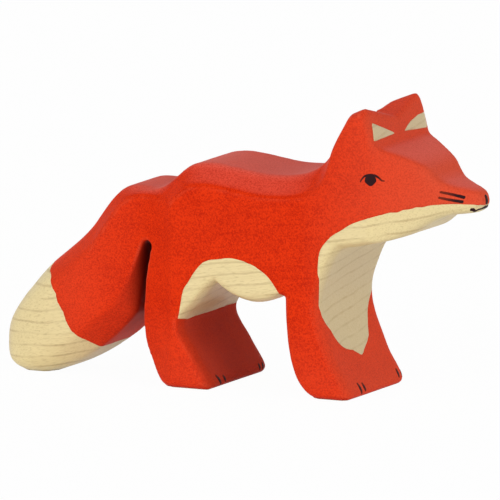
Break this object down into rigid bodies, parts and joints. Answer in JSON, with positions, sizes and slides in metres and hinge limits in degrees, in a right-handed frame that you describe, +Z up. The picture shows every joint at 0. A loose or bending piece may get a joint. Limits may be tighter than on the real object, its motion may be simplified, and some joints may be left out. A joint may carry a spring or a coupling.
{
  "type": "fox figurine",
  "caption": "Standing wooden fox figurine sawn from a thick board, stained red, with bare chin, belly, ears and tail tip and a black brushed face and toes.",
  "frame": {"origin": "middle of the ground that the figure stands on, below the middle of its length and width", "axes": "+X forward to the nose, +Y to the fox's left, +Z up"},
  "size_m": [0.1243, 0.0334, 0.0706],
  "materials": {
    "wood": "sanded bare end and side grain",
    "red_stain": "red stain, satin",
    "clear_glaze": "bare wood under a clear satin glaze",
    "black_paint": "black brushed paint, matte"
  },
  "bodies": {
    "root": {"wood_core": "wood", "red_coat": "red_stain", "throat_bib": "clear_glaze", "belly_patch": "clear_glaze", "tail_tip": "clear_glaze", "ear_inside_left": "clear_glaze", "ear_inside_right": "clear_glaze", "eye_left": "black_paint", "eye_right": "black_paint", "whiskers_left": "black_paint", "whiskers_right": "black_paint", "nose_line": "black_paint", "mouth_line": "black_paint", "toe_lines_front_left": "black_paint", "toe_lines_front_right": "black_paint", "toe_lines_hind_left": "black_paint", "toe_lines_hind_right": "black_paint"}
  },
  "joints": []
}
